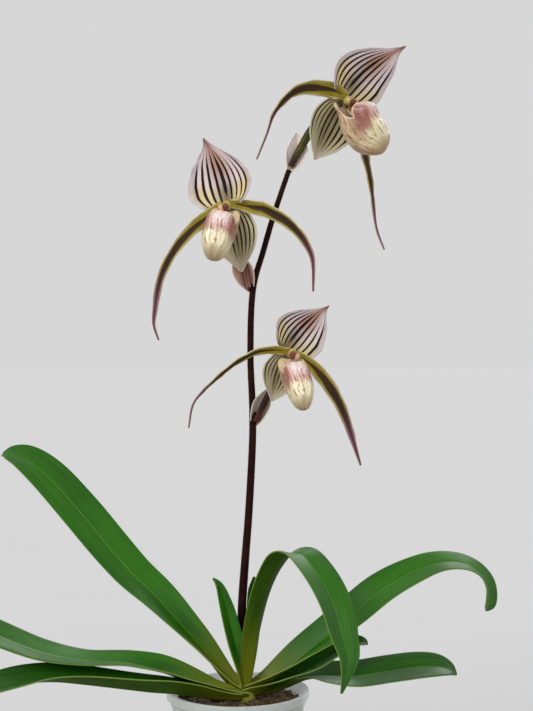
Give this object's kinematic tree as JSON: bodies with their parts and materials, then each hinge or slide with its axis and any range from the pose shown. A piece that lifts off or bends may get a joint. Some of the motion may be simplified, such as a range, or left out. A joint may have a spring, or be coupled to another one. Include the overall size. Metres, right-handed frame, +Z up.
{
  "type": "potted slipper orchid",
  "caption": "Slipper orchid in a plastic nursery pot, with a fan of strap leaves and a dark stem that carries striped flowers with pouch-shaped lips.",
  "frame": {"origin": "centre of the pot's flat underside", "axes": "+Z up along the pot and the flower stem; -Y is the front, from which the flowers are seen; +X is the viewer's right"},
  "size_m": [0.5083, 0.1561, 0.6441],
  "materials": {
    "pot_plastic": "translucent grey moulded plastic",
    "bark_and_moss": "rough bark chips and moss",
    "shoot": "waxy yellow-green",
    "dark_stem": "dark maroon, finely hairy",
    "leaf": "waxy green, semi-gloss",
    "dorsal_sepal": "satin petal, white with dark maroon stripes",
    "ventral_sepal": "satin petal, cream-green with brown stripes",
    "petal": "satin petal, olive with a maroon band and tail",
    "lip": "glossy petal, rose over cream with fine net veins",
    "column": "cream with red-brown sides",
    "dark_ovary": "dark maroon, hairy",
    "green_ovary": "green with a dark line",
    "bract": "pale pink-cream with brown stripes"
  },
  "bodies": {
    "root": {"pot": "pot_plastic", "growing_medium": "bark_and_moss", "shoot_and_roots": "shoot", "flower_stem": "dark_stem", "leaf_inner_left": "leaf", "leaf_inner_right": "leaf", "leaf_small_back": "leaf", "leaf_upper_left": "leaf", "leaf_upper_right": "leaf", "leaf_lower_left": "leaf", "leaf_middle_right": "leaf", "leaf_lower_right": "leaf", "leaf_front_left": "leaf", "left_flower_column": "column", "left_flower_ovary": "dark_ovary", "left_flower_lip": "lip", "left_flower_left_petal": "petal", "left_flower_right_petal": "petal", "left_flower_dorsal_sepal": "dorsal_sepal", "left_flower_ventral_sepal": "ventral_sepal", "left_flower_bract": "bract", "lower_flower_column": "column", "lower_flower_ovary": "dark_ovary", "lower_flower_lip": "lip", "lower_flower_left_petal": "petal", "lower_flower_right_petal": "petal", "lower_flower_dorsal_sepal": "dorsal_sepal", "lower_flower_ventral_sepal": "ventral_sepal", "lower_flower_bract": "bract", "top_flower_column": "column", "top_flower_ovary": "green_ovary", "top_flower_lip": "lip", "top_flower_left_petal": "petal", "top_flower_right_petal": "petal", "top_flower_dorsal_sepal": "dorsal_sepal", "top_flower_ventral_sepal": "ventral_sepal", "top_flower_bract": "bract"}
  },
  "joints": []
}
